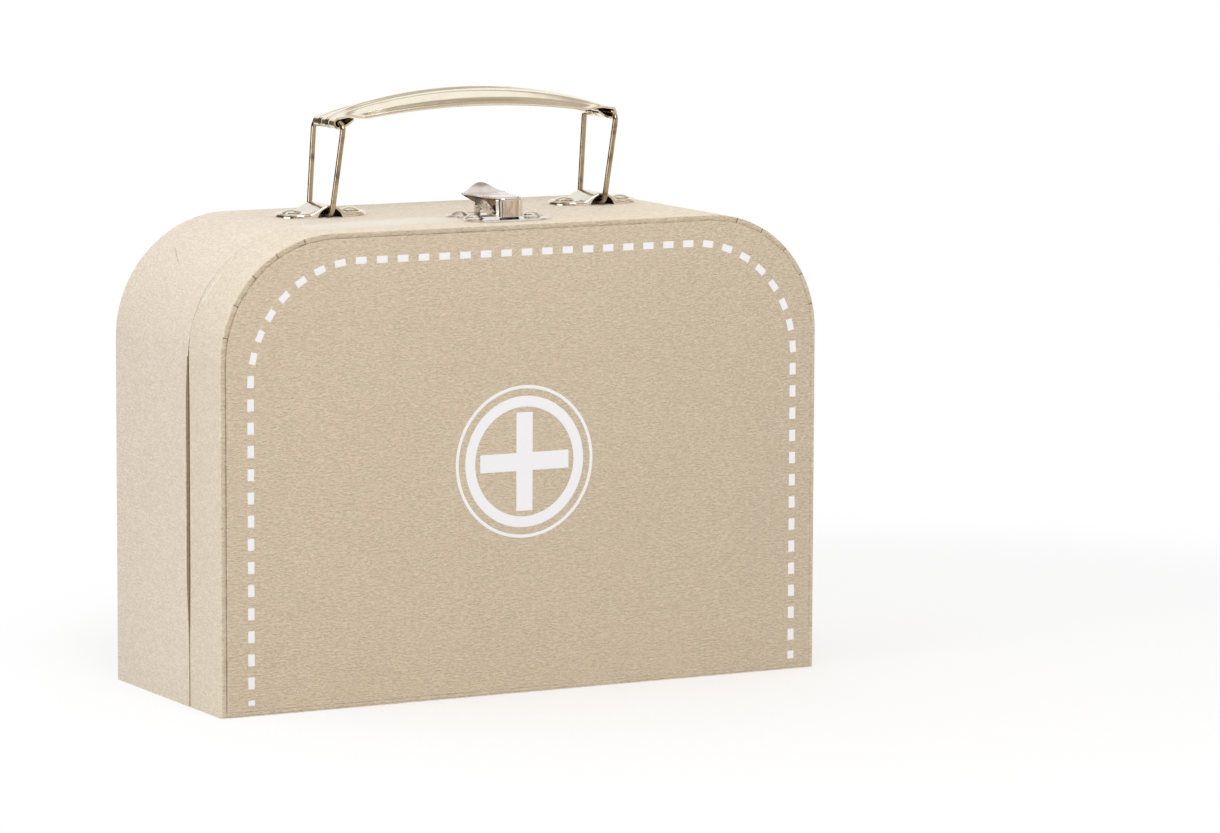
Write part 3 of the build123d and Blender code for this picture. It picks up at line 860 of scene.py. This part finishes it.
# ---- pressed plates ----
def pressed_plate(centre, length, width, top, under, steps):
    """Points and faces of a plate whose top and underside are heights over its outline.

    The steps are those of a round end, of the straight part and across.
    """
    end_steps, straight_steps, cross_steps = steps
    radius = width / 2
    straight = length / 2 - radius
    middle_x, middle_y = centre
    # Places along the plate and its half width there.
    end = quarter(end_steps)
    spread = [-straight + 2 * straight * i / straight_steps for i in range(1, straight_steps)]
    stations = [(-straight - radius * cosine, radius * sine) for sine, cosine in end]
    stations += [(x, radius) for x in spread]
    stations += [(straight + radius * sine, radius * cosine) for sine, cosine in end]
    rows = []
    for x, half in stations:
        ring = []
        for i in range(cross_steps + 1):
            closer_at_edges = sin(radians(-90 + 180 * i / cross_steps))
            y = (closer_at_edges * 0.55 + (-1 + 2 * i / cross_steps) * 0.45) * half
            inside = radius - hypot(max(abs(x) - straight, 0.0), y)
            ring.append((middle_x + x, middle_y + y, case_height + top(x, y, inside)))
        low_z = case_height + under(x)
        rows.append((ring, [(px, py, low_z) for px, py, _ in ring]))
    return sheet_body(rows)


def prism(outline, near_x, far_x):
    """Points and faces of a flat piece across X from its outline in Y and Z."""
    points = [(x, y, z) for x in (near_x, far_x) for y, z in outline]
    return points, tube_faces(2, len(outline))


def build_handle_plates():
    """Two pressed plates with a saddle over the foot of each bail."""
    rise = 1.7
    bend = 1.3
    saddle_rise = 3.0
    saddle_half = 9.0
    channel_half = 5.2
    channel_height = 3.9
    rim_foot = 0.25
    end_round = 0.6
    channel_radius = (channel_half**2 + channel_height**2) / (2 * channel_height)

    def round_edge(inside, width):
        share = min(max(inside, 0.0) / width, 1.0)
        return sqrt(1 - (1 - share) ** 2)

    def top(x, y, inside):
        edge = rim_foot + (rise - rim_foot) * round_edge(inside, bend)
        lift = saddle_rise * (0.5 + 0.5 * cos(pi * min(abs(x) / saddle_half, 1.0)))
        saddle = rise + lift - 0.5 * (1 - round_edge(inside, end_round))
        open_end = 1 - smooth_step(abs(x), channel_half - 0.6, saddle_half - 1.0)
        return edge + (saddle - edge) * open_end + (1 - open_end) * lift

    def under(x):
        if abs(x) >= channel_half:
            return 0.0
        return channel_height - channel_radius + sqrt(channel_radius**2 - x * x)

    # The channel's underside takes dark steel with painted shade.
    def in_channel(place, facing):
        return facing.z < -0.05 and place.z > case_height + 0.02

    for name, middle_x in bail_middles.items():
        middle = (middle_x, handle_y)
        points, faces = pressed_plate(middle, 36.5, 17.0, top, under, (18, 60, 44))
        plate = meshed("handle_saddle_" + name, points, faces, 45.0)
        fitted(plate, "base", "nickel", polished_nickel, "handle_plate_" + name)
        lined(plate, bare_steel_and_shade, in_channel)


# ---- wire and grip ----
def build_bails():
    """Two closed wire loops."""
    setting = wire_rule()
    foot_half = 10.0
    top_half = 13.0
    wire_radius = 1.05
    foot = [(0, -foot_half, 0), (0, foot_half, 0)]
    corners = foot + [(0, top_half, bail_height), (0, -top_half, bail_height)]
    upright = rounded_path(corners, [2.2, 2.2, 3.0, 3.0], 10, loop=True)
    edges = [(i, (i + 1) % len(upright)) for i in range(len(upright))]
    sizes = {"Radius": wire_radius * MM, "Sides": 20, "Finish": bright_wire}
    for name, middle_x in bail_middles.items():
        place = Matrix.Translation((middle_x, handle_y, case_height + bar_lift))
        path = [place @ Matrix.Rotation(bail_lean, 4, "Y") @ point for point in upright]
        bail = ruled("bail_wire_" + name, path, edges, setting, sizes, 60.0)
        fitted(bail, "bail_" + name, "wire", bright_wire, "handle_bail_" + name)


def strip_line():
    """Line of the grip's outer face from the left tip round both curls to the right tip.

    Each entry is x, z, the outward direction in both, and how far the section has arched.
    """
    half = handle_half
    outer = 2.3
    arch = 5.6
    tip_reach = 6.2
    tip_rise = 3.2
    line = []
    for side in (-1, 1):
        part = []
        for i in range(7):
            left_to_run = 1 - i / 6
            x = side * (half - left_to_run * tip_reach)
            part.append((x, -outer + tip_rise * left_to_run**1.6, 0.0, -1.0, 0.0))
        for i in range(1, 17):
            angle = radians(-90 - 180 * i / 16)
            x = cos(angle)
            z = sin(angle)
            part.append((side * (half - outer * x), outer * z, -side * x, z, 0.0))
        line.append(part)
    middle = []
    steps = 64
    for i in range(1, steps):
        along = -half + 2 * half * i / steps
        share = 1 - (along / half) ** 2
        z = outer + arch * share
        slope = -2 * arch * along / half**2
        tilt = hypot(1.0, slope)
        middle.append((along, z, -slope / tilt, 1 / tilt, share))
    return line[0] + middle + line[1][::-1]


def build_grip():
    """Arched strip with long ribs and turned-down edges, rolled round the bars at its ends."""
    sheet = 0.8
    crown_rise = 4.2
    across_steps = 60
    rib_depth = 0.62
    groove_depth = 0.5
    groove_place = 0.34
    groove_width = 0.085
    rows = []
    for x, z, out_x, out_z, share in strip_line():
        arched = smooth_step(handle_half - abs(x), 3.0, 12.0) if share > 0 else 0.0
        half = (18.0 + 3.0 * share) / 2
        crown = crown_rise * share**0.7
        flange = 1.45 * arched
        outer_row = []
        inner_row = []
        for i in range(across_steps + 1):
            t = -1 + 2 * i / across_steps
            bow = crown * (1 - abs(t) ** 2.2)
            groove = exp(-(((abs(t) - groove_place) / groove_width) ** 2)) * (1 - arched)
            ribs = (0.5 - 0.5 * cos(pi * t / 0.3)) * arched
            drop = flange * smooth_step(abs(t), 0.84, 1.0)
            level = bow - groove * groove_depth - ribs * rib_depth - drop - crown * 0.1
            tuck = 0.02 * arched * copysign(smooth_step(abs(t), 0.85, 1.0), t)
            y = half * (t - tuck)
            outer_row.append((x + out_x * level, y, z + out_z * level))
            level -= sheet
            inner_row.append((x + out_x * level, y, z + out_z * level))
        rows.append((outer_row, inner_row))
    points, faces = sheet_body(rows)
    bar_x = handle_x + bail_height * sin(bail_lean)
    bar_z = case_height + bar_lift + bail_height * cos(bail_lean)
    points = [(x + bar_x, y + handle_y, z + bar_z) for x, y, z in points]
    piece = meshed("grip_strip", points, faces, 55.0)
    fitted(piece, "grip", "nickel", grip_plating, "handle_grip")

    # The insides of the curls take dark steel with painted shade.
    def in_curl(place, facing):
        along = abs(place.x - bar_x) - handle_half
        height = place.z - bar_z
        if abs(facing.y) >= 0.7:
            return False
        if along > 0:
            return hypot(along, height) < 1.85
        return -7.0 < along and facing.z * copysign(1, height) < -0.3

    lined(piece, bare_steel_and_shade, in_curl)


# ---- pieces of the latch ----
def build_latch_plates():
    """Keeper plate with a raised rim and a ridge, and the anchor plate with its ears."""
    sheet = 0.55
    rim_rise = 0.3
    pad_rise = 1.3
    ridge_y = -2.0
    ridge_half = 4.0
    ridge_radius = 0.8

    def plate_top(x, y, inside, pad_x, pad_y):
        rim = exp(-(((inside - 0.55) / 0.4) ** 2))
        level = sheet + rim_rise * rim - 0.25 * (1 - smooth_step(inside, 0.0, 0.3))
        reach = min(hypot(x - side * pad_x, y - pad_y) for side in (-1, 1))
        return level + (pad_rise - level) * (1 - smooth_step(reach, 3.1, 3.9))

    def keeper_top(x, y, inside):
        level = plate_top(x, y, inside, keeper_rivet_x, keeper_rivet_y)
        beside = y - ridge_y
        if abs(x) < ridge_half and abs(beside) < 0.78:
            level = max(level, 0.3 + sqrt(ridge_radius**2 - beside**2))
        return level

    def anchor_top(x, y, inside):
        return plate_top(x, y, inside, anchor_rivet_x, 0.0)

    def flat(x):
        return 0.0

    middle = (latch_x, keeper_y)
    points, faces = pressed_plate(middle, 35.0, 19.0, keeper_top, flat, (20, 64, 64))
    keeper = meshed("keeper_plate", points, faces)
    fitted(keeper, "lid", "nickel", satin_nickel, "latch_keeper_plate")
    middle = (latch_x, anchor_y)
    parts = [pressed_plate(middle, 32.5, 13.4, anchor_top, flat, (18, 64, 44))]
    low, bend = case_height + 0.3, case_height + 0.8
    ear = [(pin_y - 2.3, low), (pin_y - pin_eye, bend)]
    ear += half_disc((pin_y, pin_z), pin_eye, 180, -1)
    ear += [(pin_y + pin_eye, bend), (pin_y + 2.3, low)]
    for near in (latch_x - 6.4, latch_x + 5.6):
        parts.append(prism(ear, near, near + hasp_sheet))
    fitted(joined("anchor_plate", parts), "base", "nickel", satin_nickel, "latch_anchor_plate")


def build_pin():
    """Pin through ears and lugs with a domed head at each end."""
    half = 6.4
    head = [(r, half + 0.12 + z) for r, z in dome_profile(1.5, 0.38, 6)]
    side = [(0.9, 0.0), (0.9, half), (1.42, half), (1.5, half + 0.06)] + head
    profile = [(r, -z) for r, z in side[::-1]] + side[1:]
    points, faces = turned(profile, 28)
    points = [(latch_x + z, pin_y + y, pin_z + x) for x, y, z in points]
    fitted(meshed("latch_axle", points, faces), "base", "nickel", satin_nickel, "latch_pin")


def hasp_low_edge(y):
    """Height of the hasp's lower edge: it runs down from the back to the hook."""
    bend_y = pin_y - 2.4
    bend_height = 5.7
    if y > bend_y:
        return bend_height + 2.3 * (y - bend_y) / (hasp_back_y - bend_y)
    return max(hasp_low, bend_height + 4.3 * (y - bend_y) / (bend_y - hasp_front_y - 6.0))


def hasp_plan(inset, side_steps):
    """Places along the hasp's plan from the back left round the front to the back right."""
    near_half = hasp_front_half - inset
    far_half = hasp_back_half - inset
    near = [(-near_half, hasp_front_y + inset, 0.0), (near_half, hasp_front_y + inset, 0.0)]
    corners = [(-far_half, hasp_back_y, 0.0), *near, (far_half, hasp_back_y, 0.0)]
    radius = max(4.2 - inset, 0.6)
    path = rounded_path(corners, [0, radius, radius, 0], 8)
    first, last = path[0], path[-1]
    left = [first.lerp(path[1], i / side_steps) for i in range(side_steps)]
    right = [path[-2].lerp(last, (i + 1) / side_steps) for i in range(side_steps)]
    return left + path[1:-1] + right


def recess(y, height):
    """How far the hasp's cheeks are pressed in between the slanting strip and the hook."""
    over_strip = height - (7.5 + (y + 23.3) * 4.4 / 7.0)
    pressed = smooth_step(over_strip, 0.0, 0.3) * (1 - smooth_step(height, 7.1, 7.4))
    return hasp_recess * pressed * smooth_step(y, -31.3, -30.7)


def hasp_shell():
    """Points and faces of the pressed box, open below and behind."""
    brow = 1.4
    side_steps = 46
    rows = 18
    rings = []
    for sine, cosine in quarter(6):
        plan = hasp_plan(brow * (1 - sine), side_steps)
        height = hasp_top - brow * (1 - cosine)
        rings.append([(p.x, p.y, max(height, hasp_low_edge(p.y))) for p in plan])
    outer = hasp_plan(0.0, side_steps)
    deep = hasp_plan(hasp_recess, side_steps)
    for row in range(1, rows + 1):
        ring = []
        for p, q in zip(outer, deep):
            low = hasp_low_edge(p.y)
            start = max(hasp_top - brow, low)
            height = start + (low - start) * row / rows
            place = p.lerp(q, recess(p.y, height) / hasp_recess)
            ring.append((place.x, place.y, height))
        rings.append(ring)
    inner = hasp_plan(hasp_sheet, side_steps)
    roof = hasp_top - hasp_sheet
    rings.append([(p.x, p.y, min(hasp_low_edge(p.y), roof)) for p in inner])
    rings.append([(p.x, p.y, roof) for p in inner])
    size = len(outer)
    points = [(latch_x + x, y, case_height + z) for ring in rings for x, y, z in ring]
    faces = band_faces(len(rings), size, size - 1)
    for first in (0, len(points) - size):
        faces.append([first + i for i in range(size)])
    left_end = list(range(0, len(points), size))
    faces.append(left_end + [first + size - 1 for first in left_end[::-1]])
    return points, faces


def hasp_lip():
    """Points and faces of the bell-shaped finger lip at the back of the hasp."""
    half = hasp_back_half
    low = hasp_top - hasp_sheet
    lip_rise = 3.5
    lean = 3.6
    across = 32
    up = 10
    root_y = hasp_back_y - hasp_sheet
    rows = []
    for i in range(across + 1):
        x = -half + 2 * half * i / across
        bell = 0.5 + 0.5 * cos(pi * x / half)
        crown = hasp_top + lip_rise * bell
        near = []
        far = []
        for k in range(up + 1):
            height = low + (crown - low) * k / up
            share = (height - low) / (lip_rise + hasp_sheet)
            y = root_y + lean * share + 1.6 * share * (1 - share)
            near.append((latch_x + x, y, case_height + height))
            far.append((latch_x + x, y + hasp_sheet, case_height + height))
        rows.append((near, far))
    return sheet_body(rows)


def build_hasp():
    """Hasp with lip and the two lugs that hang on the pin."""
    roof = case_height + hasp_top - hasp_sheet / 2
    lug = half_disc((pin_y, pin_z), pin_eye, 180, 1)
    lug += [(pin_y + pin_eye, roof), (pin_y - pin_eye, roof)]
    parts = [hasp_shell(), hasp_lip()]
    for near in (latch_x - 5.2, latch_x + 4.4):
        parts.append(prism(lug, near, near + hasp_sheet))
    box = joined("hasp_box", parts)
    fitted(box, "hasp", "nickel", pressed_nickel, "latch_hasp")

    # The pressed recess takes brown painted shade and reflection.
    def in_recess(place, facing):
        return abs(facing.x) > 0.5 and recess(place.y, place.z - case_height) > 0.1

    # The window is a painted dark hole, shade with no opening cut.
    def in_window(place, facing):
        return in_recess(place, facing) and place.y < -28.9 and place.z - case_height < 5.6

    lined(box, recess_shade_metal, in_recess)
    lined(box, bare_steel_and_shade, in_window)


# ---- studio ----
floor_glow = 0.31
floor_reach = 4.0
shadow_middle = (0.17, 0.0, 0.0)
room_light = 0.73
camera_side = (-0.47, -0.88, 0.0)
dark_side = (-0.98, 0.2, 0.0)
warm_side = (0.75, -0.65, -0.1)
camera_place = (-1.0419, -2.0564, 0.4017)
camera_azimuth = -28.217
camera_elevation = 7.4745
camera_roll = 0.2313


def build_floor():
    """Wide white floor that shows as white and keeps the case's soft shadow near a point right of
    the case; farther out it glows plain white, painted light that covers the shadow on the left.
    """
    material, sheet, place = finish("studio_floor")
    dust = sheet.cloud(place, 300.0, 2.0)
    colour = sheet.blend(dust, tint(216, 216, 216), tint(222, 222, 222))
    seen = sheet.ray("Is Camera Ray")
    mirrored = sheet.ray("Is Glossy Ray")
    visible = sheet.math("MAXIMUM", seen, mirrored)
    cloth = sheet.node("ShaderNodeBsdfDiffuse", {"Color": colour})
    glow = sheet.node("ShaderNodeEmission", {"Strength": visible * floor_glow})
    near_floor = sheet.node("ShaderNodeAddShader", {0: cloth, 1: glow})
    offset = sheet.vector("SUBTRACT", {0: place, 1: shadow_middle})
    away = sheet.vector("LENGTH", {0: offset}, "Value")
    direction = sheet.vector("NORMALIZE", {0: place})
    backdrop = sheet.blend(mirrored, (1.0, 1.0, 1.0, 1.0), room_colour(sheet, direction))
    white = sheet.node("ShaderNodeEmission", {"Color": backdrop})
    # Farther from a point right of the case the floor glows plain white: painted light over the
    # shadow.
    far = sheet.step(away, 0.2, 0.36) * visible
    floor = sheet.node("ShaderNodeMixShader", {0: far, 1: near_floor, 2: white})
    sheet.send(floor, "ShaderNodeOutputMaterial", "Surface")
    reach = floor_reach / MM
    corners = [(-reach, -reach, 0), (reach, -reach, 0), (reach, reach, 0), (-reach, reach, 0)]
    plane = set_out("floor", corners, [], [(0, 1, 2, 3)])
    plane.data.materials.append(material)


def room_colour(sheet, direction):
    """What the metal mirrors: a white room with a warm and a dark side and a band overhead."""
    height = sheet.part(direction, 2)
    unevenness = sheet.cloud(direction, 1.7) - 0.5
    warm = sheet.step(sheet.along(direction, warm_side), 0.3, 0.8)
    warm = warm * sheet.step(height, 0.75, 0.35)
    before = sheet.step(sheet.along(direction, camera_side) + unevenness * 0.7, -0.15, 0.55)
    screens = sheet.step(sheet.cloud(direction, 6.0, 0.0), 0.46, 0.54)
    shade = sheet.blend(screens, (0.08, 0.058, 0.044, 1.0), (0.86, 0.81, 0.77, 1.0))
    band = sheet.step(height, 0.5, 0.62) * sheet.step(height, 0.84, 0.74)
    dark = sheet.step(sheet.along(direction, dark_side), 0.35, 0.75)
    dark = dark * sheet.step(height, 0.85, 0.35)
    dark = sheet.step(dark + unevenness * 0.5, 0.25, 0.5)
    colour = sheet.blend(before, (1.0, 0.99, 0.97, 1.0), shade)
    colour = sheet.blend(warm * (1 - screens), colour, (0.62, 0.44, 0.27, 1.0))
    colour = sheet.blend(band * 0.75, colour, (0.4, 0.34, 0.25, 1.0))
    return sheet.blend(dark, colour, (0.09, 0.068, 0.05, 1.0))


def build_world():
    """White room that the camera sees as plain white."""
    world = bpy.data.worlds.new("studio")
    world.use_nodes = True
    world.node_tree.nodes.clear()
    bpy.context.scene.world = world
    sheet = Sheet(world.node_tree)
    seen = sheet.ray("Is Camera Ray")
    mirrored = sheet.ray("Is Glossy Ray")
    direction = sheet.node("ShaderNodeTexCoord", output="Generated")
    plain = (room_light, room_light, room_light, 1.0)
    ambient = sheet.blend(mirrored, plain, room_colour(sheet, direction))
    colour = sheet.blend(seen, ambient, (1.0, 1.0, 1.0, 1.0))
    light = sheet.node("ShaderNodeBackground", {"Color": colour})
    sheet.send(light, "ShaderNodeOutputWorld", "Surface")


def soft_lamp(name, place, target, size, power):
    """Square soft lamp that looks at a point, all in metres."""
    lamp = bpy.data.lights.new(name, "AREA")
    lamp.size = size
    lamp.energy = power
    holder = shown(name, lamp)
    aim = Vector(target) - Vector(place)
    holder.rotation_euler = aim.to_track_quat("-Z", "Y").to_euler()
    holder.location = place


def build_studio():
    """Floor, room, lamps and the camera at the photograph's place."""
    build_floor()
    build_world()
    soft_lamp("left_lamp", (-1.9, -0.35, 0.3), (0, 0, 0.1), 1.1, 8.6)
    soft_lamp("front_lamp", (-0.05, -1.25, 1.75), (0, 0, 0.15), 0.9, 11.0)
    camera = bpy.data.cameras.new("camera")
    camera.lens = 180.0
    camera.sensor_width = 36.0
    camera.clip_start = 0.05
    holder = shown("camera", camera)
    turn = Matrix.Rotation(radians(camera_azimuth), 4, "Z")
    tilt = Matrix.Rotation(radians(90 - camera_elevation), 4, "X")
    roll = Matrix.Rotation(radians(camera_roll), 4, "Z")
    holder.matrix_world = Matrix.Translation(camera_place) @ turn @ tilt @ roll
    bpy.context.scene.camera = holder
    bpy.context.scene.view_settings.view_transform = "Standard"


build_case()
build_print()
build_rivets()
build_handle_plates()
build_bails()
build_grip()
build_latch_plates()
build_pin()
build_hasp()
build_studio()
